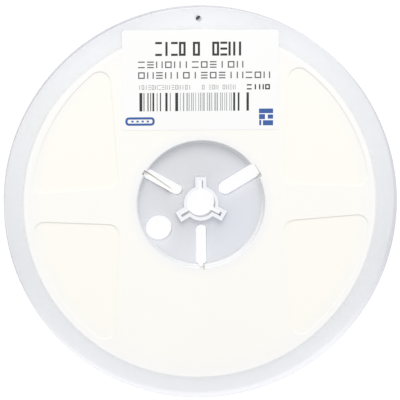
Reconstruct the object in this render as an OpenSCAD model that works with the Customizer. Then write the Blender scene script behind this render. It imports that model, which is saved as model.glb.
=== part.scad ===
// Seven inch reel of 8 mm paper carrier tape for surface-mount parts.
// The reel lies on its rear flange. The origin is on the axis of the spindle bore, in the outer
// face of the rear flange. +Z runs along the bore towards the labelled side, +Y towards the label.
// Each moulded half is drawn once, lying on its flange, and the front one is its mirror image.

/* [Flanges] */
// Diameter of both flanges
flange_d = 178; // [176:0.5:180]
// Thickness of a flange
flange_t = 1.2; // [1:0.1:1.6]
// Clear width between the flanges
flange_gap = 9; // [8.6:0.1:9.9]
// Diameter of the threading hole near the rim
rim_hole_d = 2.7; // [2:0.1:4]
// Radius that the threading hole lies on
rim_hole_at = 83.8; // [82:0.2:85]

/* [Thinned panels] */
// Depth of the four panels in the flange's outer face
panel_depth = 0.4; // [0.2:0.05:0.6]
// Radius that the panels reach out to
panel_r = 76.8; // [72:0.2:82]
// Distance from the vertical centreline to a panel's inner corner
panel_x = 37; // [34:0.1:40]
// Distance from the horizontal centreline to a panel's inner corner
panel_y = 8.5; // [6:0.1:12]
// Angle that a panel's sides lean from the centrelines
panel_lean = 3.5; // [0:0.5:6]
// Radius of the panels' corners
panel_corner = 5; // [2:0.5:6]

/* [Hub] */
// Outer diameter of the hub that the tape is wound on
hub_d = 60; // [58:0.5:62]
// Thickness of the hub's wall
hub_wall = 1.2; // [1:0.1:1.6]
// Depth of the hub's web below the flange's outer face
web_depth = 3.3; // [2.6:0.1:3.6]
// Thickness of the web
web_t = 1.2; // [1:0.1:1.4]
// Radius of the fillet between web and wall
web_fillet = 1; // [0.4:0.1:1.5]
// Radius of the rounded mouth of the hub's recess
mouth_r = 0.5; // [0.2:0.1:0.8]
// Diameter of the round hole in the web
web_hole_d = 11.8; // [8:0.2:12]
// Radius that the round hole in the web lies on
web_hole_at = 22.1; // [21.8:0.1:22.8]
// Direction of the round hole in the web
web_hole_dir = 210; // [200:1:220]

/* [Spindle bore] */
// Diameter of the spindle bore
bore_d = 13; // [12.8:0.1:13.4]
// Width of the drive keyways
key_w = 2; // [1.5:0.1:2.5]
// Radius of the circle that the keyways reach
key_reach = 10.5; // [10.1:0.1:10.9]
// Direction of the first of the three keyways
key_dir = 90; // [86:1:94]
// Outer diameter of the collar round the bore
collar_d = 15.6; // [15:0.2:18]
// Width of the collar's arms round the keyways
arm_w = 5; // [4.5:0.1:5.3]
// Radius that the collar's arms reach
arm_reach = 12; // [11.6:0.1:12.4]
// Height of the collar above the web
collar_proud = 1.7; // [1:0.1:2.5]

/* [Hub slots] */
// Width of the wide slot
wide_slot_w = 6.9; // [5:0.1:7.4]
// Radius of the outer corners of the wide slot
wide_slot_corner = 1; // [0.5:0.1:2.4]
// Direction of the wide slot
wide_slot_dir = 30; // [25:1:35]
// Width of the two narrow slots
slot_w = 5; // [4:0.1:5.4]
// Directions of the two narrow slots
slot_dirs = [150, 270];
// Radius at which the slots begin
slot_from = 9.9; // [9.5:0.1:12]
// Width of the slit that a narrow slot ends in, through the hub's wall
slit_w = 2.2; // [1.8:0.1:2.8]

/* [Tape] */
// Width of the carrier tape
tape_w = 8; // [7.9:0.1:8.2]
// Thickness of one turn
turn_t = 1; // [0.9:0.05:1.1]
// Number of turns on the hub
turns = 49; // [20:1:50]
// Radius at which the tail inside the hub ends
tail_end = 14.5; // [13:0.5:20]
// Diameter of the sprocket holes
sprocket_d = 1.5; // [1.4:0.1:1.6]
// Pitch of the sprocket holes and of the pockets
pitch = 4; // [4:4:8]
// Width of the component pockets, along the tape
pocket_w = 1.1; // [0.7:0.1:1.4]
// Length of the component pockets, across the tape
pocket_l = 1.9; // [1.2:0.1:2.2]
// Width of the cover tape
cover_w = 5.3; // [5:0.1:5.5]

/* [Label] */
// Width of the label
label_w = 71; // [60:1:74]
// Height of the label
label_h = 45.5; // [38:0.5:46]
// Thickness of the label
label_t = 0.12; // [0.08:0.02:0.2]
// Corner radius of the label
label_corner = 1.5; // [0.5:0.5:3]
// Distance of the label's centre from the bore
label_at = 56.4; // [54:0.1:57]
// Offset of the label's centre from the vertical centreline
label_shift = 0.6; // [-1:0.1:1]
// Angle that the label sits askew by
label_askew = -0.8; // [-2:0.1:2]

/* [Hidden] */
$fn = 96;

eps = 0.01;
flange_r = flange_d / 2;
rim_round = flange_t / 2;
hub_r = hub_d / 2;
recess_r = hub_r - hub_wall;
bore_r = bore_d / 2;
reel_w = 2 * flange_t + flange_gap;
mid_z = reel_w / 2;
web_top = web_depth + web_t;
collar_z = web_depth - collar_proud;
through_h = reel_w + 2;

// The hub walls lap where they meet: a lip on the rear one fits into a rebate in the front one.
lap_h = 1;
lap_t = hub_wall / 2;
lap_clear = 0.05;

// The narrow slots taper at 45 degrees to their slit just inside the hub's wall.
slot_taper = (slot_w - slit_w) / 2;
slot_straight_to = recess_r - slot_taper;
notch_depth = 0.1;

// The tape starts at the slit of the first narrow slot.
tape_z = flange_t;
tail_dir = slot_dirs[0];
groove_w = 0.2;
groove_h = 0.16;
bend_r = (slit_w - turn_t) / 2;
tail_lean = 1.6;
roll_r = hub_r + turns * turn_t;

// Punching of the tape, from its edge beside the rear flange.
sprocket_z = 1.75;
pocket_z = sprocket_z + 3.5;
pocket_h = turn_t - 0.1;
holes_per_half = floor(PI * roll_r / pitch);

// The film and the tab that close the roll.
film_t = 0.06;
tab_t = 0.08;
tab_w = 6;
tab_deg = 9;
tab_step_deg = 3;

milky = [0.86, 0.88, 0.91, 0.75];

// ---- Moulded halves ----

// Section of a half: flange with a round rim, hub wall with its lip or rebate, and web.
module half_section(has_lip) {
    difference() {
        union() {
            translate([recess_r, 0])
                square([flange_r - rim_round - recess_r, flange_t]);
            translate([flange_r - rim_round, rim_round])
                circle(rim_round, $fn = 32);
            translate([recess_r, 0])
                square([hub_wall, mid_z]);
            if (has_lip)
                translate([recess_r, mid_z - eps])
                    square([lap_t, lap_h + eps]);
            translate([bore_r, web_depth])
                square([recess_r + eps - bore_r, web_t]);
            translate([recess_r - web_fillet, web_depth - web_fillet])
                concave(web_fillet);
        }
        translate([recess_r - eps, -eps])
            convex(mouth_r + eps);
        if (!has_lip)
            translate([recess_r - eps, mid_z - lap_h - lap_clear])
                square([lap_t + lap_clear + eps, lap_h + 1]);
    }
}

// Material that fills the corner between a wall on its right and a floor on its top.
module concave(r) {
    difference() {
        square([r + eps, r + eps]);
        circle(r, $fn = 32);
    }
}

// Material that is cut away to round a lower left corner.
module convex(r) {
    difference() {
        square(r);
        translate([r, r])
            circle(r, $fn = 32);
    }
}

// Three like shapes round the bore.
module threefold(first_dir) {
    for (i = [0:2])
        rotate(first_dir + 120 * i)
            children();
}

module collar_outline() {
    circle(collar_d / 2);
    threefold(key_dir)
        translate([0, -arm_w / 2])
            square([arm_reach, arm_w]);
}

module bore_outline() {
    circle(bore_r);
    threefold(key_dir)
        translate([0, -key_w / 2])
            square([key_reach, key_w]);
}

// A straight slot with a round inner end, which also notches the flange above the hub's wall.
module wide_slot_outline() {
    r = wide_slot_w / 2;
    c = wide_slot_corner;
    x0 = slot_from + r;
    x1 = hub_r + notch_depth;
    translate([x0, 0])
        circle(r);
    translate([x0, -r])
        square([x1 - c - x0, 2 * r]);
    translate([x0, c - r])
        square([x1 - x0, 2 * (r - c)]);
    for (y = [c - r, r - c])
        translate([x1 - c, y])
            circle(c, $fn = 32);
}

// The same with a tapered outer end and a slit through the hub's wall.
module narrow_slot_outline() {
    r = slot_w / 2;
    s = slit_w / 2;
    x0 = slot_from + r;
    translate([x0, 0])
        circle(r);
    polygon([
        [x0, -r], [slot_straight_to, -r], [recess_r, -s], [hub_r + notch_depth, -s],
        [hub_r + notch_depth, s], [recess_r, s], [slot_straight_to, r], [x0, r]
    ]);
}

// One panel, bounded by two leaning sides and an arc, with rounded corners.
module panel_outline() {
    offset(r = panel_corner)
        offset(delta = -panel_corner)
            intersection() {
                circle(panel_r, $fn = 180);
                translate([panel_x, panel_y])
                    rotate(-panel_lean)
                        square(flange_r);
            }
}

module four_panels() {
    for (mx = [0, 1], my = [0, 1])
        mirror([mx, 0])
            mirror([0, my])
                panel_outline();
}

module half(has_lip) {
    difference() {
        union() {
            rotate_extrude()
                half_section(has_lip);
            translate([0, 0, collar_z])
                linear_extrude(mid_z - collar_z)
                    collar_outline();
        }
        translate([0, 0, -1])
            linear_extrude(through_h)
                union() {
                    bore_outline();
                    rotate(wide_slot_dir)
                        wide_slot_outline();
                    for (dir = slot_dirs)
                        rotate(dir)
                            narrow_slot_outline();
                    rotate(web_hole_dir)
                        translate([web_hole_at, 0])
                            circle(web_hole_d / 2);
                    translate([0, rim_hole_at])
                        circle(rim_hole_d / 2, $fn = 32);
                }
        translate([0, 0, -1])
            linear_extrude(1 + panel_depth)
                four_panels();
    }
}

module rear_half() {
    color(milky)
        half(true);
}

module front_half() {
    color(milky)
        translate([0, 0, reel_w])
            mirror([0, 0, 1])
                half(false);
}

// ---- Wound tape ----
// The tape is drawn with its tail along +X and then turned to the tail's direction. Each turn is
// two half rings on centres half a turn's thickness apart, so that they join up into one spiral.

// Section of all turns. The rear edge lies flush on the flange, and the front one has a V groove
// between each two turns.
module turns_section() {
    grooves = [
        for (i = [turns - 1:-1:1], p = [[groove_w / 2, 0], [0, groove_h], [-groove_w / 2, 0]])
            [hub_r + i * turn_t + p[0], tape_w - p[1]]
    ];
    polygon(concat([[hub_r, 0], [roll_r, 0], [roll_r, tape_w]], grooves, [[hub_r, tape_w]]));
}

// Sweeps a section once round the spiral, clockwise and outwards.
module one_turn() {
    rotate(180)
        rotate_extrude(angle = 180)
            children();
    translate([turn_t / 2, 0])
        rotate_extrude(angle = 180)
            translate([turn_t / 2, 0])
                children();
}

// The inner end bends in through the slit and lies along the far side of the slot.
module tail_outline() {
    bend_x = hub_r - bend_r;
    polygon([
        [tail_end, tail_lean - turn_t / 2], [bend_x, -turn_t / 2],
        [bend_x + eps, turn_t / 2], [tail_end, tail_lean + turn_t / 2]
    ]);
    translate([bend_x, -turn_t / 2 - bend_r])
        intersection() {
            difference() {
                circle(bend_r + turn_t, $fn = 32);
                circle(bend_r, $fn = 32);
            }
            square(bend_r + turn_t);
        }
}

// Places a shape at each sprocket hole's or pocket's station along the outermost turn, with +X
// pointing outwards. Stations are counted from the outer end, in steps of the pitch.
module along_outer_turn(first) {
    for (half = [0, 1], i = [0:holes_per_half - 1])
        translate([half * turn_t / 2, 0])
            rotate(half * 180 - (i + first) * 180 / holes_per_half)
                translate([roll_r + half * turn_t / 2, 0])
                    children();
}

module tape_roll() {
    color([0.95, 0.92, 0.82])
        translate([0, 0, tape_z])
            rotate(tail_dir)
                difference() {
                    union() {
                        one_turn()
                            turns_section();
                        linear_extrude(tape_w)
                            tail_outline();
                    }
                    along_outer_turn(0.25)
                        translate([-turn_t, 0, sprocket_z])
                            rotate([0, 90, 0])
                                cylinder(d = sprocket_d, h = 2 * turn_t, $fn = 24);
                    along_outer_turn(0.75)
                        translate([-pocket_h, -pocket_w / 2, pocket_z - pocket_l / 2])
                            cube([turn_t, pocket_w, pocket_l]);
                }
}

// Clear film over the outermost turn.
module cover_tape() {
    color([0.9, 0.93, 0.95, 0.5])
        translate([0, 0, tape_z + pocket_z - cover_w / 2])
            rotate(tail_dir)
                one_turn()
                    translate([roll_r, 0])
                        square([film_t, cover_w]);
}

// Adhesive tab that bends down over the tape's outer end to the turn below it.
module end_tab() {
    color([0.95, 0.9, 0.7])
        translate([0, 0, tape_z + (tape_w - tab_w) / 2])
            rotate(tail_dir)
                linear_extrude(tab_w)
                    polygon(concat(tab_edge(film_t), reversed(tab_edge(film_t + tab_t))));
}

// One edge of the tab, at a height above the paper: along the last turn, then along the one below.
function tab_edge(above) = concat(
    [for (a = [tab_deg:-1:0]) [turn_t / 2, 0] + (roll_r + turn_t / 2 + above) * [cos(a), sin(a)]],
    [for (a = [tab_step_deg:1:tab_deg]) (roll_r + above) * [cos(a), -sin(a)]]
);

function reversed(list) = [for (i = [len(list) - 1:-1:0]) list[i]];

// ---- Label ----

module label() {
    color([0.98, 0.98, 0.97])
        translate([label_shift, label_at, reel_w])
            rotate(label_askew)
                linear_extrude(label_t)
                    union() {
                        square([label_w - 2 * label_corner, label_h], center = true);
                        square([label_w, label_h - 2 * label_corner], center = true);
                        for (x = [-1, 1], y = [-1, 1])
                            translate([x * (label_w / 2 - label_corner), y * (label_h / 2 - label_corner)])
                                circle(label_corner, $fn = 32);
                    }
}

rear_half();
front_half();
tape_roll();
cover_tape();
end_tab();
label();
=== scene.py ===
"""Finishes a seven inch reel of 8 mm carrier tape: milky flanges, wound card, label and studio."""

import math
import random

import bpy
from mathutils import Matrix, Vector


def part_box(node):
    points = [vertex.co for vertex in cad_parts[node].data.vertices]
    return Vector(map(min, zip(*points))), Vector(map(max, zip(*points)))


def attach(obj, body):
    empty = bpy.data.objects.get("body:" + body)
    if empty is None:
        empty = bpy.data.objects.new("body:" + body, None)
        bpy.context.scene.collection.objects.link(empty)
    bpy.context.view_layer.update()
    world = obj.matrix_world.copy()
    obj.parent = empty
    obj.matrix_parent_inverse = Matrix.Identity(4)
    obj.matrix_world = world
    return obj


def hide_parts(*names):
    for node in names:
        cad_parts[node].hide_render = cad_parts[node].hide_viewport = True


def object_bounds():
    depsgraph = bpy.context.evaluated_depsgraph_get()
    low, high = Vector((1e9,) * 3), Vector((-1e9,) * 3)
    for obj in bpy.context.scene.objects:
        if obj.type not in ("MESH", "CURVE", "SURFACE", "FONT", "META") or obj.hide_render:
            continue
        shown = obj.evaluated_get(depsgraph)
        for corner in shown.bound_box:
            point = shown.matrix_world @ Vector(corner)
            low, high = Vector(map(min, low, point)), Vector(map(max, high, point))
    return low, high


bl_info = {
    "name": "Tape Reel Finisher",
    "version": (1, 0, 0),
    "blender": (4, 5, 0),
    "location": "View3D > Sidebar > Tape Reel",
    "description": "Plastic, card, film, printed label and studio for a reel of carrier tape",
    "category": "Object",
}

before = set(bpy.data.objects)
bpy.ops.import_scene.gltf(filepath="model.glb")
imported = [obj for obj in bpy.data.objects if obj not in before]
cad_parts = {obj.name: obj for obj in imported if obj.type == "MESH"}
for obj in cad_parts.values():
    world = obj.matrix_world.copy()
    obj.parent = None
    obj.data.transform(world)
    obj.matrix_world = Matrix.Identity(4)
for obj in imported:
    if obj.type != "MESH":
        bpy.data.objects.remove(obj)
CAD_BOX = [list(corner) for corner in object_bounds()]
MM = 0.001

# Places and sizes of the solids that finishes and new pieces follow: the reel, its hub with the recess,
# web and collar in it, its thinned panels, and the play in telling what is over the web or in a panel.
REEL_R = (CAD_BOX[1][0] - CAD_BOX[0][0]) / 2
FRONT_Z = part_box("front_half")[1].z
LABEL_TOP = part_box("label")[1].z
HUB_R = 30 * MM
RECESS_R = 28.8 * MM
COLLAR_R = 12.3 * MM
WEB_DEPTH = 3.3 * MM
PANEL_DEPTH = 0.4 * MM
OVER_WEB = 0.1 * MM
IN_PANEL = 0.12 * MM

# The wound tape: its outer radius, a turn's thickness, the direction of its end, and the pockets in its
# outermost turn, whose place from the end is counted in pitches.
ROLL_R = 79 * MM
TURN_T = 1 * MM
TAPE_END_DIR = math.radians(150)
POCKET_Z = 6.45 * MM
POCKETS_PER_HALF_TURN = 62
FIRST_POCKET = 0.75

# A chip lies in its pocket: its middle's depth in the tape, the section and length of its ceramic, and
# what each end adds: steps of rise and growth out to the cap, along it and over its chamfer.
CHIP_DEEP = 0.49 * MM
CHIP_BODY = (0.7 * MM, 0.72 * MM, 0.9 * MM)
CHIP_CAP = ((0.01 * MM, 1.1), (0.31 * MM, 1.0), (0.03 * MM, 0.93))
CHIP_PLATED_FROM = 0.47 * MM

# The label's sheet stays this far below the top of the label's solid, and the ink on it starts a little
# inside the sheet, whose upper edge is pressed round.
LABEL_PLAY = 0.02 * MM
LABEL_EDGE = 0.03 * MM
INK_SUNK = 0.01 * MM

# The floor: its size, how far it lies below the reel, the painted deep shade on it under the wound tape,
# and where the view down through the rim's hole meets it, painted in the same deep shade.
FLOOR_SIZE = 4
FLOOR_GAP = 0.1 * MM
DEEP_SHADE = (0.012, 0.018, 0.026)
UNDER_RIM_HOLE = (0.8 * MM, 82.9 * MM, 0)
RIM_HOLE_VIEW_R = 1.7 * MM

# The large lamp: its distance from the reel, and its size.
LAMP_FAR = 2
LAMP_SIZE = (1.2, 0.9)


# ---- What a user may change ----


class ReelFinish(bpy.types.PropertyGroup):
    plastic: bpy.props.FloatVectorProperty(
        name="Plastic", description="Colour of the natural moulding plastic on its own",
        subtype="COLOR", size=3, min=0, max=1, default=(0.943, 0.948, 0.958))
    plastic_backed: bpy.props.FloatVectorProperty(
        name="Backed plastic", description="Colour of the plastic where the card lies against it",
        subtype="COLOR", size=3, min=0, max=1, default=(1, 0.97, 0.918))
    # Also the grey that the card-backed plastic is painted towards, as shade, beside the hub and at the
    # roll's edge.
    plastic_solid: bpy.props.FloatVectorProperty(
        name="Solid plastic",
        description="Colour of the plastic where it is deep, in the hub's wall and collar",
        subtype="COLOR", size=3, min=0, max=1, default=(0.884, 0.898, 0.928))
    plastic_thin: bpy.props.FloatVectorProperty(
        name="Thin plastic", description="Colour of the thinned panels, which the card shines through",
        subtype="COLOR", size=3, min=0, max=1, default=(1, 0.968, 0.893))
    milkiness: bpy.props.FloatProperty(
        name="Milkiness", description="How much one skin of the plastic hides what is far behind it",
        subtype="FACTOR", min=0, max=1, default=0.38)
    milkiness_backed: bpy.props.FloatProperty(
        name="Backed milkiness", description="The same where the card lies against the plastic",
        subtype="FACTOR", min=0, max=1, default=0.9)
    card: bpy.props.FloatVectorProperty(
        name="Card", description="Colour of the carrier tape's card",
        subtype="COLOR", size=3, min=0, max=1, default=(1, 0.985, 0.93))
    card_dark: bpy.props.FloatVectorProperty(
        name="Card fibre", description="Colour of the darker fibres in the card",
        subtype="COLOR", size=3, min=0, max=1, default=(0.98, 0.94, 0.86))
    film: bpy.props.FloatVectorProperty(
        name="Film", description="Colour of the cover tape's clear film",
        subtype="COLOR", size=3, min=0, max=1, default=(0.9, 0.94, 0.97))
    tab: bpy.props.FloatVectorProperty(
        name="Tab", description="Colour of the adhesive tab that holds the tape's end",
        subtype="COLOR", size=3, min=0, max=1, default=(0.93, 0.85, 0.62))
    ceramic: bpy.props.FloatVectorProperty(
        name="Ceramic", description="Colour of the chips in the tape's pockets",
        subtype="COLOR", size=3, min=0, max=1, default=(0.36, 0.2, 0.1))
    plating: bpy.props.FloatVectorProperty(
        name="Plating", description="Colour of the chips' plated ends",
        subtype="COLOR", size=3, min=0, max=1, default=(0.78, 0.77, 0.75))


class LabelPrint(bpy.types.PropertyGroup):
    width: bpy.props.FloatProperty(
        name="Width", description="Width of the label", unit="LENGTH", default=70.4 * MM)
    height: bpy.props.FloatProperty(
        name="Height", description="Height of the label", unit="LENGTH", default=45 * MM)
    corner: bpy.props.FloatProperty(
        name="Corner", description="Corner radius of the label", unit="LENGTH", default=1.5 * MM)
    askew: bpy.props.FloatProperty(
        name="Askew", description="Angle that the label sits turned by",
        unit="ROTATION", default=math.radians(-0.8))
    centre: bpy.props.FloatVectorProperty(
        name="Centre", description="Centre of the label from the bore's axis",
        subtype="XYZ_LENGTH", size=2, default=(0.35 * MM, 56.2 * MM))
    ink_proud: bpy.props.FloatProperty(
        name="Ink", description="Height of the print above the label", unit="LENGTH", default=0.012 * MM)
    paper: bpy.props.FloatVectorProperty(
        name="Paper", description="Colour of the label's paper",
        subtype="COLOR", size=3, min=0, max=1, default=(0.889, 0.884, 0.868))
    black: bpy.props.FloatVectorProperty(
        name="Black ink", description="Colour of the bold print",
        subtype="COLOR", size=3, min=0, max=1, default=(0.012, 0.012, 0.013))
    grey: bpy.props.FloatVectorProperty(
        name="Grey ink", description="Colour of the light print",
        subtype="COLOR", size=3, min=0, max=1, default=(0.09, 0.09, 0.095))
    faint: bpy.props.FloatVectorProperty(
        name="Faint ink", description="Colour of the worn fine print",
        subtype="COLOR", size=3, min=0, max=1, default=(0.34, 0.34, 0.35))
    blue: bpy.props.FloatVectorProperty(
        name="Blue ink", description="Colour of the two blue panels",
        subtype="COLOR", size=3, min=0, max=1, default=(0.03, 0.095, 0.33))
    seed: bpy.props.IntProperty(
        name="Print seed", description="Picks the marks and the widths of the bars, which say nothing",
        default=11)


class Studio(bpy.types.PropertyGroup):
    camera_far: bpy.props.FloatProperty(
        name="Camera distance", description="Distance of the camera from the reel's front",
        unit="LENGTH", default=1.3)
    half_view: bpy.props.FloatProperty(
        name="Half view", description="Half the width that the camera sees at the reel's front",
        unit="LENGTH", default=90.3 * MM)
    camera_at: bpy.props.FloatVectorProperty(
        name="Camera place", description="Where the line of sight meets the reel's front",
        subtype="XYZ_LENGTH", size=2, default=(-0.6 * MM, 1.85 * MM))
    camera_lean: bpy.props.FloatProperty(
        name="Camera lean", description="Angle of the camera from straight above, towards the label",
        unit="ROTATION", default=math.radians(8))
    camera_side: bpy.props.FloatProperty(
        name="Camera side lean", description="The same towards the reel's right side",
        unit="ROTATION", default=math.radians(-4))
    camera_roll: bpy.props.FloatProperty(
        name="Camera roll", description="Turn of the camera about its line of sight",
        unit="ROTATION", default=math.radians(-0.8))
    air: bpy.props.FloatProperty(
        name="Air", description="Strength of the even light from all round", min=0, default=0.75)
    key_share: bpy.props.FloatProperty(
        name="Key", description="Brightness that the large lamp adds on a flat white face",
        min=0, default=0.385)
    key_lean: bpy.props.FloatProperty(
        name="Key lean", description="Angle of the large lamp from straight above",
        unit="ROTATION", default=math.radians(50))
    floor_glow: bpy.props.FloatProperty(
        name="Floor", description="Plain brightness of the pale floor behind the reel",
        min=0, default=0.95)
    # Painted light and shade on the floor under the reel, which shows through the milky plastic: the
    # hub's colours under its web, the rim's beside the wound card.
    hub_shade: bpy.props.FloatVectorProperty(
        name="Hub shade", description="Colour of the floor under the hub's web, on the side of the lamp",
        subtype="COLOR", size=3, min=0, max=1, default=(0.28, 0.235, 0.29))
    hub_light: bpy.props.FloatVectorProperty(
        name="Hub light", description="The same on the far side, which the lamp reaches",
        subtype="COLOR", size=3, min=0, max=1, default=(0.175, 0.165, 0.3))
    hub_sky: bpy.props.FloatVectorProperty(
        name="Hub sky", description="The same on the right, where the sky lights it",
        subtype="COLOR", size=3, min=0, max=1, default=(0.26, 0.32, 0.9))
    hub_bounce: bpy.props.FloatVectorProperty(
        name="Hub bounce", description="The same close to the hub's wall, which throws light on it",
        subtype="COLOR", size=3, min=0, max=1, default=(0.66, 0.7, 0.92))
    rim_painted_shade: bpy.props.FloatVectorProperty(
        name="Rim shade", description="Colour of the floor under the rim's edge",
        subtype="COLOR", size=3, min=0, max=1, default=(0.24, 0.215, 0.32))
    rim_painted_light: bpy.props.FloatVectorProperty(
        name="Rim light", description="The same beside the wound card, which throws light on it",
        subtype="COLOR", size=3, min=0, max=1, default=(0.88, 0.86, 0.92))
    rim_far_painted_light: bpy.props.FloatVectorProperty(
        name="Rim on the far side", description="The same on the side away from the lamp",
        subtype="COLOR", size=3, min=0, max=1, default=(0.95, 0.93, 1))


# ---- Small helpers ----


def settings():
    scene = bpy.context.scene
    return scene.reel_finish, scene.reel_label, scene.reel_studio


def object_mode():
    if bpy.context.object and bpy.context.object.mode != "OBJECT":
        bpy.ops.object.mode_set(mode="OBJECT")
    bpy.ops.object.select_all(action="DESELECT")


def finished(piece, name, material):
    """Names a piece, places it in its mesh, gives it its finish and lets it ride on the reel."""
    object_mode()
    piece.select_set(True)
    bpy.context.view_layer.objects.active = piece
    bpy.ops.object.transform_apply(location=True, rotation=True, scale=True)
    piece.name = piece.data.name = name
    piece.data.materials.clear()
    piece.data.materials.append(material)
    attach(piece, "root")
    piece.select_set(False)
    return piece


def apply_all(piece):
    object_mode()
    piece.select_set(True)
    bpy.context.view_layer.objects.active = piece
    for modifier in list(piece.modifiers):
        bpy.ops.object.modifier_apply(modifier=modifier.name)


def refinish(node, material):
    """Puts a new finish on a CAD node through its material slots."""
    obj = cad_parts[node]
    for held in obj.material_slots:
        held.material = material


class Finish:
    """A new material with one Principled shader, and short ways to add and join nodes."""

    def __init__(self, name, **sockets):
        self.material = bpy.data.materials.new(name)
        self.material.use_nodes = True
        self.tree = self.material.node_tree
        self.shader = self.tree.nodes["Principled BSDF"]
        for label, value in sockets.items():
            self.shader.inputs[label.replace("_", " ")].default_value = value

    def node(self, kind, **values):
        made = self.tree.nodes.new("ShaderNode" + kind)
        for key, value in values.items():
            if hasattr(made, key):
                setattr(made, key, value)
            else:
                made.inputs[key.replace("_", " ")].default_value = value
        return made

    def join(self, source, target):
        self.tree.links.new(source, target)

    def place(self):
        return self.node("TexCoord").outputs["Object"]

    def math(self, operation, first, second=None, third=None):
        made = self.node("Math", operation=operation)
        for i, value in enumerate((first, second, third)):
            if value is None:
                continue
            if isinstance(value, (int, float)):
                made.inputs[i].default_value = value
            else:
                self.join(value, made.inputs[i])
        return made.outputs[0]

    def vector(self, operation, place, other):
        made = self.node("VectorMath", operation=operation)
        self.join(place, made.inputs[0])
        made.inputs[1].default_value = other
        return made.outputs["Value" if operation in ("DOT_PRODUCT", "DISTANCE") else "Vector"]

    def along(self, place, axis):
        split = self.node("SeparateXYZ")
        self.join(place, split.inputs[0])
        return split.outputs[axis]

    def from_axis(self, place):
        """Distance from the reel's axis."""
        return self.vector("DISTANCE", self.vector("MULTIPLY", place, (1, 1, 0)), (0, 0, 0))

    def from_spiral(self, place):
        """Distance from the axis, less what the tape gains on the half where it winds outwards."""
        end = Vector((math.cos(TAPE_END_DIR), math.sin(TAPE_END_DIR), 0))
        sideways = self.vector("DOT_PRODUCT", place, (-end.y, end.x, 0))
        inner = self.from_axis(place)
        outer = self.from_axis(self.vector("SUBTRACT", place, end * TURN_T / 2))
        gain = self.math("SUBTRACT", self.math("SUBTRACT", outer, TURN_T / 2), inner)
        outer_half = self.ramp(sideways, -30 * MM, -4 * MM)
        return self.math("ADD", inner, self.math("MULTIPLY", outer_half, gain))

    def noise(self, place, scale, detail=3.0, roughness=0.55, stretch=None):
        if stretch:
            mapping = self.node("Mapping")
            mapping.inputs["Scale"].default_value = stretch
            self.join(place, mapping.inputs["Vector"])
            place = mapping.outputs[0]
        made = self.node("TexNoise", Scale=scale, Detail=detail, Roughness=roughness)
        self.join(place, made.inputs["Vector"])
        return made.outputs["Fac"]

    def ramp(self, value, low, high, to_low=0.0, to_high=1.0):
        made = self.node("MapRange", clamp=True)
        made.inputs["From Min"].default_value = low
        made.inputs["From Max"].default_value = high
        made.inputs["To Min"].default_value = to_low
        made.inputs["To Max"].default_value = to_high
        self.join(value, made.inputs["Value"])
        return made.outputs["Result"]

    def blend(self, factor, first, second):
        """Colour between two colours, each one a colour or a socket."""
        made = self.node("Mix", data_type="RGBA")
        if isinstance(factor, (int, float)):
            made.inputs[0].default_value = factor
        else:
            self.join(factor, made.inputs[0])
        for i, colour in ((6, first), (7, second)):
            if isinstance(colour, bpy.types.NodeSocket):
                self.join(colour, made.inputs[i])
            else:
                made.inputs[i].default_value = (*colour, 1)
        return made.outputs[2]

    def between(self, factor, first, second):
        """Shader between two shaders."""
        made = self.node("MixShader")
        for i, socket in enumerate((factor, first, second)):
            self.join(socket, made.inputs[i])
        return made.outputs[0]

    def colour(self, socket):
        self.join(socket, self.shader.inputs["Base Color"])

    def roughness(self, value, low, high):
        self.join(self.ramp(value, 0.25, 0.75, low, high), self.shader.inputs["Roughness"])

    def relief(self, height, strength, distance):
        made = self.node("Bump", Strength=strength, Distance=distance)
        self.join(height, made.inputs["Height"])
        self.join(made.outputs[0], self.shader.inputs["Normal"])


def shade(colour, factor):
    return tuple(min(1.0, c * factor) for c in colour)


# ---- Finishes ----


def milky_plastic(finish):
    """Natural polystyrene with soft flow clouds: see-through on its own, and whiter and denser where
    the wound card lies against it, most of all in the thinned panels."""
    made = Finish("milky_polystyrene", IOR=1.57)
    place = made.place()
    radius = made.from_spiral(place)
    from_middle = made.math("ABSOLUTE", made.math("SUBTRACT", made.along(place, "Z"), FRONT_Z / 2))
    backed = made.math("MULTIPLY", made.ramp(radius, RECESS_R - 1.6 * MM, RECESS_R),
                       made.ramp(radius, ROLL_R + 0.6 * MM, ROLL_R - 0.2 * MM))
    over_web = made.math("GREATER_THAN", from_middle, FRONT_Z / 2 - WEB_DEPTH + OVER_WEB)
    collar = made.math("MULTIPLY", made.math("LESS_THAN", radius, COLLAR_R), over_web)
    dense = made.math("MAXIMUM", backed, collar)
    made.join(made.ramp(dense, 0, 1, finish.milkiness, finish.milkiness_backed),
              made.shader.inputs["Alpha"])
    cloud = made.ramp(made.noise(place, 28, 4), 0.35, 0.7)
    alone = made.blend(cloud, finish.plastic, shade(finish.plastic, 0.985))
    over_card = made.blend(cloud, finish.plastic_backed, shade(finish.plastic_backed, 0.992))
    panel = made.math("COMPARE", from_middle, FRONT_Z / 2 - PANEL_DEPTH, IN_PANEL)
    tinted = made.blend(panel, over_card, finish.plastic_thin)
    # In the hub's wall the colour is the deep plastic's own; over the card beside it and towards the
    # roll's edge it greys towards that colour, a painted shade.
    away_from_edge_shade = made.math("MULTIPLY", made.ramp(radius, RECESS_R - 2.4 * MM, HUB_R + 3 * MM),
                          made.ramp(radius, ROLL_R + 1 * MM, ROLL_R - 9 * MM, 0.55))
    thick = made.blend(away_from_edge_shade, finish.plastic_solid, tinted)
    made.colour(made.blend(dense, alone, thick))
    made.roughness(made.noise(place, 60, 3), 0.27, 0.36)
    made.relief(made.noise(place, 900, 2), 0.05, 0.02 * MM)
    return made.material


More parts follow.
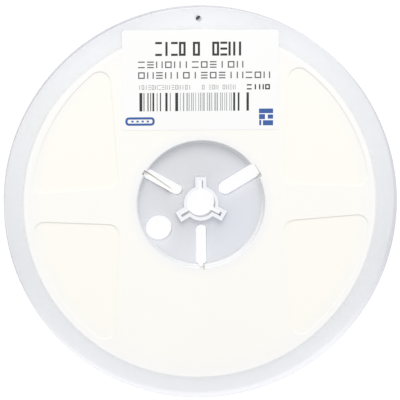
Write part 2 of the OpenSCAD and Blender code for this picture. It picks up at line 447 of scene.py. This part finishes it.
def card(finish):
    """Cream card with fibres; each wound turn's cut edge has its own slight tone."""
    made = Finish("carrier_card", Roughness=0.85, Specular_IOR_Level=0.3)
    place = made.place()
    fibre = made.noise(place, 900, 6, 0.7)
    mottle = made.noise(place, 140, 3)
    turn = made.math("FLOOR", made.math("DIVIDE", made.from_axis(place), TURN_T))
    tone = made.node("TexWhiteNoise", noise_dimensions="1D")
    made.join(turn, tone.inputs["W"])
    speck = made.ramp(fibre, 0.5, 0.78, 0.0, 0.35)
    base = made.blend(made.ramp(mottle, 0.3, 0.7, 0.0, 0.5), finish.card, shade(finish.card, 0.975))
    toned = made.blend(made.math("MULTIPLY", tone.outputs["Value"], 0.35), base, shade(finish.card, 0.95))
    made.colour(made.blend(speck, toned, finish.card_dark))
    made.relief(fibre, 0.12, 0.03 * MM)
    return made.material


def clear_film(finish):
    """Clear heat-seal film with faint lengthwise sheen."""
    made = Finish("clear_film", Alpha=0.3, IOR=1.5)
    place = made.place()
    streak = made.noise(place, 120, 3, stretch=(1, 1, 14))
    made.colour(made.blend(made.ramp(streak, 0.3, 0.7), finish.film, shade(finish.film, 0.96)))
    made.roughness(streak, 0.1, 0.2)
    return made.material


def adhesive_paper(finish):
    """Creped tan adhesive paper."""
    made = Finish("adhesive_paper", Roughness=0.8)
    place = made.place()
    crepe = made.noise(place, 500, 3, stretch=(1, 1, 0.2))
    made.colour(made.blend(made.ramp(crepe, 0.35, 0.7), finish.tab, shade(finish.tab, 0.9)))
    made.relief(crepe, 0.4, 0.05 * MM)
    return made.material


def chip_finish(finish):
    """Fired ceramic in the middle of a chip, and bright plating on its ends."""
    made = Finish("ceramic_chip")
    place = made.place()
    from_middle = made.math("ABSOLUTE", made.math("SUBTRACT", made.along(place, "Z"), POCKET_Z))
    plated = made.math("GREATER_THAN", from_middle, CHIP_PLATED_FROM)
    grain = made.noise(place, 5000, 3)
    body = made.blend(grain, finish.ceramic, shade(finish.ceramic, 0.75))
    metal = made.blend(grain, finish.plating, shade(finish.plating, 0.9))
    made.colour(made.blend(plated, body, metal))
    made.join(plated, made.shader.inputs["Metallic"])
    made.roughness(grain, 0.28, 0.5)
    return made.material


def label_paper(label):
    """Smooth coated label paper."""
    made = Finish("label_paper", IOR=1.45)
    place = made.place()
    fibre = made.noise(place, 1400, 4, 0.6)
    cloud = made.noise(place, 35, 3)
    made.colour(made.blend(made.ramp(cloud, 0.35, 0.7), label.paper, shade(label.paper, 0.99)))
    made.roughness(fibre, 0.42, 0.52)
    made.relief(fibre, 0.06, 0.02 * MM)
    return made.material


def ink(name, colour, wear):
    """Ribbon print: dense ink that thins out in fine specks."""
    made = Finish(name, IOR=1.45)
    place = made.place()
    speck = made.noise(place, 2600, 3, 0.7)
    made.colour(made.blend(made.ramp(speck, 0.52, 0.8, 0.0, wear), colour, (0.8, 0.8, 0.8)))
    made.roughness(speck, 0.35, 0.5)
    return made.material


# ---- Pieces ----


class REEL_OT_halves(bpy.types.Operator):
    """Gives both moulded halves their milky plastic"""

    bl_idname = "reel.halves"
    bl_label = "Moulded halves"

    def execute(self, context):
        finish, _, _ = settings()
        plastic = milky_plastic(finish)
        for node in ("rear_half", "front_half"):
            refinish(node, plastic)
        return {"FINISHED"}


class REEL_OT_tape(bpy.types.Operator):
    """Gives the wound card, its film and its end tab their finishes"""

    bl_idname = "reel.tape"
    bl_label = "Wound tape"

    def execute(self, context):
        finish, _, _ = settings()
        refinish("tape_roll", card(finish))
        refinish("cover_tape", clear_film(finish))
        refinish("end_tab", adhesive_paper(finish))
        return {"FINISHED"}


class REEL_OT_chips(bpy.types.Operator):
    """Lays a ceramic chip with two plated ends in each pocket of the outermost turn"""

    bl_idname = "reel.chips"
    bl_label = "Chips"

    def execute(self, context):
        finish, _, _ = settings()
        chip = self.chip()
        chips = []
        for half in (0, 1):
            centre = Matrix.Translation((half * TURN_T / 2, 0, POCKET_Z))
            outwards = Matrix.Translation((ROLL_R + half * TURN_T / 2 - CHIP_DEEP, 0, 0))
            for i in range(POCKETS_PER_HALF_TURN):
                turn = half * math.pi - (i + FIRST_POCKET) * math.pi / POCKETS_PER_HALF_TURN
                copy = chip.copy()
                copy.data = chip.data.copy()
                context.scene.collection.objects.link(copy)
                copy.matrix_world = (Matrix.Rotation(TAPE_END_DIR, 4, "Z") @ centre
                                     @ Matrix.Rotation(turn, 4, "Z") @ outwards)
                chips.append(copy)
        bpy.data.objects.remove(chip)
        object_mode()
        for copy in chips:
            copy.select_set(True)
        context.view_layer.objects.active = chips[0]
        bpy.ops.object.join()
        finished(context.object, "chips", chip_finish(finish))
        return {"FINISHED"}

    def chip(self):
        """One chip about the origin: a ceramic bar whose ends step out into chamfered caps."""
        object_mode()
        bpy.ops.mesh.primitive_cube_add(size=1)
        chip = bpy.context.object
        chip.dimensions = CHIP_BODY
        bpy.ops.object.transform_apply(scale=True)
        for side in (1, -1):
            bpy.ops.object.mode_set(mode="EDIT")
            bpy.ops.mesh.select_mode(type="FACE")
            bpy.ops.mesh.select_all(action="DESELECT")
            bpy.ops.object.mode_set(mode="OBJECT")
            for face in chip.data.polygons:
                face.select = face.center.z * side > CHIP_BODY[2] * 0.49
            bpy.ops.object.mode_set(mode="EDIT")
            for rise, grow in CHIP_CAP:
                bpy.ops.mesh.extrude_region_move(TRANSFORM_OT_translate={"value": (0, 0, rise * side)})
                bpy.ops.transform.resize(value=(grow, grow, 1), center_override=(0, 0, 0))
            bpy.ops.object.mode_set(mode="OBJECT")
        return chip


def on_label(label, z):
    """Matrix that takes a place on the label, from its centre, to the reel."""
    return Matrix.Translation((*label.centre, z)) @ Matrix.Rotation(label.askew, 4, "Z")


class REEL_OT_label(bpy.types.Operator):
    """Cuts the label with rounded corners and a pressed edge, in place of the plain one"""

    bl_idname = "reel.label"
    bl_label = "Label"

    def execute(self, context):
        _, label, _ = settings()
        thick = LABEL_TOP - LABEL_PLAY - FRONT_Z
        object_mode()
        bpy.ops.mesh.primitive_cube_add(size=1)
        sheet = bpy.context.object
        sheet.dimensions = (label.width, label.height, thick)
        bpy.ops.object.transform_apply(scale=True)
        bpy.ops.object.mode_set(mode="EDIT")
        bpy.ops.mesh.select_mode(type="EDGE")
        bpy.ops.mesh.select_all(action="DESELECT")
        bpy.ops.object.mode_set(mode="OBJECT")
        for edge in sheet.data.edges:
            a, b = (sheet.data.vertices[i].co for i in edge.vertices)
            edge.select = abs(a.z - b.z) > thick / 2
        bpy.ops.object.mode_set(mode="EDIT")
        bpy.ops.mesh.bevel(offset=label.corner, segments=8, affect="EDGES")
        bpy.ops.object.mode_set(mode="OBJECT")
        rounded = sheet.modifiers.new("pressed_edge", "BEVEL")
        rounded.width = LABEL_EDGE
        rounded.segments = 2
        rounded.limit_method = "ANGLE"
        rounded.angle_limit = math.radians(60)
        apply_all(sheet)
        sheet.matrix_world = on_label(label, FRONT_Z + thick / 2)
        finished(sheet, "label_sheet", label_paper(label))
        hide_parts("label")
        return {"FINISHED"}


class Printer:
    """Lays flat marks on the label, all in one mesh, and gives them the thickness of ink."""

    def __init__(self, label):
        self.label = label
        object_mode()
        self.piece = None

    def mark(self, x, y, width, height, corner=0.0, stroke=0.0):
        """A mark centred on x, y in millimetres: a block, or with a stroke a frame."""
        spot = (x * MM, y * MM, 0)
        if self.piece is None:
            bpy.ops.mesh.primitive_plane_add(size=1)
            self.piece = bpy.context.object
            bpy.ops.object.mode_set(mode="EDIT")
            bpy.ops.mesh.delete(type="VERT")
        bpy.ops.mesh.select_all(action="DESELECT")
        bpy.ops.mesh.primitive_plane_add(size=1, location=spot)
        bpy.ops.transform.resize(value=(width * MM, height * MM, 1), center_override=spot)
        if corner:
            bpy.ops.mesh.bevel(offset=corner * MM, segments=3, affect="VERTICES")
        if stroke:
            bpy.ops.mesh.inset(thickness=stroke * MM)
            bpy.ops.mesh.delete(type="FACE")

    def finish(self, name, material):
        object_mode()
        raised = self.piece.modifiers.new("ink", "SOLIDIFY")
        raised.thickness = self.label.ink_proud + INK_SUNK
        raised.offset = 1
        apply_all(self.piece)
        self.piece.matrix_world = on_label(self.label, LABEL_TOP - LABEL_PLAY - INK_SUNK)
        return finished(self.piece, name, material)


# The strokes that make up each kind of plain mark, none of them a letter or a figure: o is a frame;
# l, m and r are upright strokes; t, c and b are dashes.
MARKS = {"box": "o", "one": "m", "two": "lr", "bars": "tb", "lines": "tcb", "gap": ""}
KINDS = ("box", "two", "lines", "bars", "box", "one")
STEMS = {"l": -1, "m": 0, "r": 1}
DASHES = {"t": 1, "c": 0, "b": -1}

# The rows of marks of each print: lengths of the groups, left side and middle height on the label,
# pitch, and the width, height and stroke of a mark, all in millimetres from the label's centre.
ROWS = {
    "bold_print": (
        ((4,), -20.3, 14.1, 3.55, 3.0, 6.3, 1.0),
        ((1,), -3.4, 14.1, 3.55, 3.2, 6.3, 1.0),
        ((4,), 5.3, 14.1, 3.65, 3.1, 6.3, 1.0),
        ((4,), 20.9, -3.2, 2.75, 2.2, 2.4, 0.6)),
    "light_print": (
        ((12,), -28.0, 7.0, 4.03, 3.0, 3.0, 0.55),
        ((15,), -28.0, 2.2, 4.03, 3.0, 3.0, 0.55)),
    "small_print": (
        ((16,), -27.9, -3.2, 1.5, 1.1, 2.1, 0.3),
        ((1, 3, 4), 0.7, -3.2, 1.55, 1.15, 2.1, 0.3)),
}

# Middle and width of the bold bars, where the fine ones begin and end, and the middle and height of both.
BOLD_BARS = ((-26.8, 1.3), (-25.4, 0.4), (-23.6, 0.5), (-22.4, 0.4), (-21.2, 0.8), (-19.5, 0.3),
             (-18.0, 0.5), (-15.3, 1.0), (-13.6, 0.3), (-10.7, 1.3), (15.2, 0.9), (17.2, 0.8),
             (21.3, 1.1))
FINE_BARS = (-9.2, 14)
BARS_Y, BARS_H = -9.8, 8.3

# The blue panels: a long frame with four studs in it, and a square patch of blocks.
LONG_FRAME = (-27.2, -18.5, 13.2, 3.8)
STUDS = tuple((x, -18.5, 1.0, 0.8) for x in (-30.6, -28.3, -26, -23.7))
PATCH = ((29.6, -14.1, 6.4, 2.1), (27.8, -16.7, 2.7, 2.3), (31.6, -16.7, 2.4, 1.9),
         (30.5, -19.5, 4.6, 2.3), (27.0, -19.4, 0.9, 2.4))


def mark_row(printer, pick, groups, left, y, pitch, width, height, stroke):
    """A row of plain marks, a gap after each group, with the first mark's left side at left."""
    row = []
    for count in groups:
        for _ in range(count):
            row.append(pick.choice([kind for kind in KINDS if not row or kind != row[-1]]))
        row.append("gap")
    for i, kind in enumerate(row):
        x = left + pitch * i + width / 2
        for part in MARKS[kind]:
            if part == "o":
                printer.mark(x, y, width, height, stroke=stroke)
            elif part in STEMS:
                printer.mark(x + STEMS[part] * (width - stroke) / 2, y, stroke, height)
            else:
                printer.mark(x, y + DASHES[part] * (height - stroke) / 2, width, stroke)


class REEL_OT_print(bpy.types.Operator):
    """Prints plain marks, bars and two plain blue panels on the label"""

    bl_idname = "reel.print"
    bl_label = "Label print"

    def execute(self, context):
        _, label, _ = settings()
        black = ink("black_ink", label.black, 0.25)
        grey = ink("grey_ink", label.grey, 0.5)
        faint = ink("faint_ink", label.faint, 0.6)
        blue = ink("blue_ink", label.blue, 0.15)

        pick = random.Random(label.seed)
        for (name, rows), colour in zip(ROWS.items(), (black, grey, faint)):
            printer = Printer(label)
            for row in rows:
                mark_row(printer, pick, *row)
            printer.finish(name, colour)

        bold = Printer(label)
        for x, width in BOLD_BARS:
            bold.mark(x, BARS_Y, width, BARS_H)
        bold.finish("code_bars", black)
        fine = Printer(label)
        x, end = FINE_BARS
        while x < end:
            width = pick.choice((0.3, 0.4, 0.4, 0.6))
            fine.mark(x + width / 2, BARS_Y, width, BARS_H)
            x += width + pick.choice((0.4, 0.5, 0.7, 1.0))
        fine.finish("fine_bars", faint)

        panels = Printer(label)
        panels.mark(*LONG_FRAME, corner=1.5, stroke=1.0)
        for block in (*STUDS, *PATCH):
            panels.mark(*block)
        panels.finish("blue_panels", blue)
        return {"FINISHED"}


# ---- Stage ----


class REEL_OT_stage(bpy.types.Operator):
    """Sets the pale floor, with painted light and shade under the reel, even air, one large soft lamp and
    the camera over the reel
    """

    bl_idname = "reel.stage"
    bl_label = "Studio"

    def execute(self, context):
        _, _, studio = settings()
        self.floor(studio)
        self.air(studio)
        self.lamp(studio)
        self.camera(studio)
        context.scene.view_settings.view_transform = "Standard"
        return {"FINISHED"}

    def seen(self, tree):
        """1 for rays from the eye, off gloss and through clear things, and 0 for light on things."""
        path = tree.nodes.new("ShaderNodeLightPath")
        value = path.outputs["Is Camera Ray"]
        for other in ("Is Glossy Ray", "Is Transmission Ray"):
            most = tree.nodes.new("ShaderNodeMath")
            most.operation = "MAXIMUM"
            tree.links.new(value, most.inputs[0])
            tree.links.new(path.outputs[other], most.inputs[1])
            value = most.outputs[0]
        return value

    def floor(self, studio):
        object_mode()
        bpy.ops.mesh.primitive_plane_add(size=FLOOR_SIZE, location=(0, 0, CAD_BOX[0][2] - FLOOR_GAP))
        floor = bpy.context.object
        bpy.ops.object.transform_apply(location=True)
        floor.name = "floor"
        made = Finish("pale_floor")
        made.tree.nodes.remove(made.shader)
        radius = made.from_axis(made.place())

        # What the eye sees: the painted light and shade of the place, and a soft shadow.
        glow = made.node("Emission")
        made.join(self.painted_floor_light(made, studio), glow.inputs["Color"])
        lit = made.node("BsdfDiffuse", Color=(0.08, 0.08, 0.08, 1))
        looks = made.node("AddShader")
        made.join(glow.outputs[0], looks.inputs[0])
        made.join(lit.outputs[0], looks.inputs[1])

        # What the reel gets from it: plain white, and a painted glow of even light under the wound tape,
        # where only the reel's rear face meets it.
        plain = made.node("BsdfDiffuse", Color=(0.85, 0.85, 0.85, 1))
        even = made.node("Emission", Strength=0.9)
        under_tape = made.math("MULTIPLY", made.ramp(radius, HUB_R + 2 * MM, HUB_R + 4 * MM),
                               made.ramp(radius, ROLL_R - 1 * MM, ROLL_R - 3 * MM))
        throws = made.between(under_tape, plain.outputs[0], even.outputs[0])

        # From below, the floor is clear, so that the reel's rear shows.
        above = made.between(self.seen(made.tree), throws, looks.outputs[0])
        below = made.node("BsdfTransparent").outputs[0]
        surface = made.between(made.node("NewGeometry").outputs["Backfacing"], above, below)
        made.join(surface, made.tree.nodes["Material Output"].inputs["Surface"])
        floor.data.materials.append(made.material)

    def painted_floor_light(self, made, studio):
        """White in the open, painted deep shade under the wound tape, and painted light and shade by
        place where it shows through the milky plastic, each skin of which counts twice in the depth."""
        place = made.place()
        radius = made.from_axis(place)
        right = made.along(place, "X")
        up = made.along(place, "Y")
        depth = made.node("LightPath").outputs["Transparent Depth"]

        # Seen straight, the floor is white outside the reel and in the hub, with painted deep shade
        # between.
        outside = made.ramp(radius, REEL_R - 1.5 * MM, REEL_R - 0.5 * MM)
        inside = made.ramp(radius, HUB_R + 3 * MM, HUB_R + 1 * MM)
        white = (studio.floor_glow,) * 3
        open_with_painted_shade = made.blend(made.math("MAXIMUM", outside, inside), DEEP_SHADE, white)

        # Painted shade on the floor under the hub's web on the lamp's side, and painted light near the
        # wall, on the right and on the far side.
        near_wall = made.ramp(radius, 15 * MM, RECESS_R)
        near_shade = made.blend(near_wall, studio.hub_shade, shade(studio.hub_bounce, 0.68))
        far_light = made.blend(made.ramp(right, -8 * MM, 18 * MM), studio.hub_light, studio.hub_sky)
        far_shade = made.blend(near_wall, far_light, studio.hub_bounce)
        painted_under_hub = made.blend(made.ramp(up, 26 * MM, -26 * MM), near_shade, far_shade)

        # Painted light and shade on the floor under the rim: shade at its edge, light beside the wound
        # card and on the far side.
        inwards = made.ramp(radius, REEL_R - 1 * MM, ROLL_R + 1 * MM)
        painted_near_rim = made.blend(inwards, studio.rim_painted_shade, studio.rim_painted_light)
        painted_under_rim = made.blend(made.ramp(up, -25 * MM, -70 * MM), painted_near_rim, studio.rim_far_painted_light)

        veiled_painted_light = made.blend(made.math("LESS_THAN", radius, ROLL_R / 2), painted_under_rim, painted_under_hub)
        # A painted dark spot, in deep shade, where the view down the rim's hole through one skin meets
        # the floor.
        from_hole = made.vector("DISTANCE", place, UNDER_RIM_HOLE)
        in_hole = made.math("LESS_THAN", from_hole, RIM_HOLE_VIEW_R)
        one_skin = made.math("LESS_THAN", depth, 2.5)
        veiled_painted_light = made.blend(made.math("MULTIPLY", one_skin, in_hole), veiled_painted_light, DEEP_SHADE)
        return made.blend(made.math("GREATER_THAN", depth, 0.5), open_with_painted_shade, veiled_painted_light)

    def air(self, studio):
        world = bpy.data.worlds.new("studio_air")
        bpy.context.scene.world = world
        world.use_nodes = True
        tree = world.node_tree
        tree.nodes.clear()
        falls = tree.nodes.new("ShaderNodeBackground")
        falls.inputs["Color"].default_value = (0.97, 0.985, 1, 1)
        falls.inputs["Strength"].default_value = studio.air
        shows = tree.nodes.new("ShaderNodeBackground")
        shows.inputs["Color"].default_value = (1, 1, 1, 1)
        mix = tree.nodes.new("ShaderNodeMixShader")
        for i, socket in enumerate((self.seen(tree), falls.outputs[0], shows.outputs[0])):
            tree.links.new(socket, mix.inputs[i])
        out = tree.nodes.new("ShaderNodeOutputWorld")
        tree.links.new(mix.outputs[0], out.inputs["Surface"])

    def lamp(self, studio):
        """A large soft lamp on the label's side, as strong as it takes for its share on a flat face."""
        object_mode()
        lean = studio.key_lean
        place = (0, LAMP_FAR * math.sin(lean), LAMP_FAR * math.cos(lean))
        bpy.ops.object.light_add(type="AREA", location=place)
        lamp = bpy.context.object
        lamp.name = "key_lamp"
        lamp.rotation_euler = (-lean, 0, 0)
        lamp.data.shape = "RECTANGLE"
        lamp.data.size, lamp.data.size_y = LAMP_SIZE
        lamp.data.energy = studio.key_share * (math.pi * LAMP_FAR) ** 2 / math.cos(lean)

    def camera(self, studio):
        lens = bpy.data.cameras.new("camera")
        lens.sensor_width = 36
        lens.lens = lens.sensor_width / 2 * studio.camera_far / studio.half_view
        lens.clip_start, lens.clip_end = 0.01, 10
        camera = bpy.data.objects.new("camera", lens)
        bpy.context.scene.collection.objects.link(camera)
        camera.matrix_world = (
            Matrix.Translation((*studio.camera_at, FRONT_Z))
            @ Matrix.Rotation(studio.camera_side, 4, "Y")
            @ Matrix.Rotation(-studio.camera_lean, 4, "X")
            @ Matrix.Rotation(studio.camera_roll, 4, "Z")
            @ Matrix.Translation((0, 0, studio.camera_far)))
        bpy.context.scene.camera = camera


class REEL_PT_panel(bpy.types.Panel):
    bl_label = "Tape Reel"
    bl_idname = "REEL_PT_panel"
    bl_space_type = "VIEW_3D"
    bl_region_type = "UI"
    bl_category = "Tape Reel"

    def draw(self, context):
        for group in settings():
            box = self.layout.box()
            for key in group.bl_rna.properties.keys():
                if key not in ("rna_type", "name"):
                    box.prop(group, key)
        for operator in OPERATORS:
            self.layout.operator(operator.bl_idname)


GROUPS = {"reel_finish": ReelFinish, "reel_label": LabelPrint, "reel_studio": Studio}
OPERATORS = (REEL_OT_stage, REEL_OT_halves, REEL_OT_tape, REEL_OT_chips, REEL_OT_label, REEL_OT_print)


def register():
    for cls in (*GROUPS.values(), *OPERATORS, REEL_PT_panel):
        bpy.utils.register_class(cls)
    for key, cls in GROUPS.items():
        setattr(bpy.types.Scene, key, bpy.props.PointerProperty(type=cls))


def unregister():
    for key in GROUPS:
        delattr(bpy.types.Scene, key)
    for cls in reversed((*GROUPS.values(), *OPERATORS, REEL_PT_panel)):
        bpy.utils.unregister_class(cls)


def main():
    register()
    bpy.ops.reel.stage()
    bpy.ops.reel.halves()
    bpy.ops.reel.tape()
    bpy.ops.reel.chips()
    bpy.ops.reel.label()
    bpy.ops.reel.print()


if __name__ == "__main__":
    main()
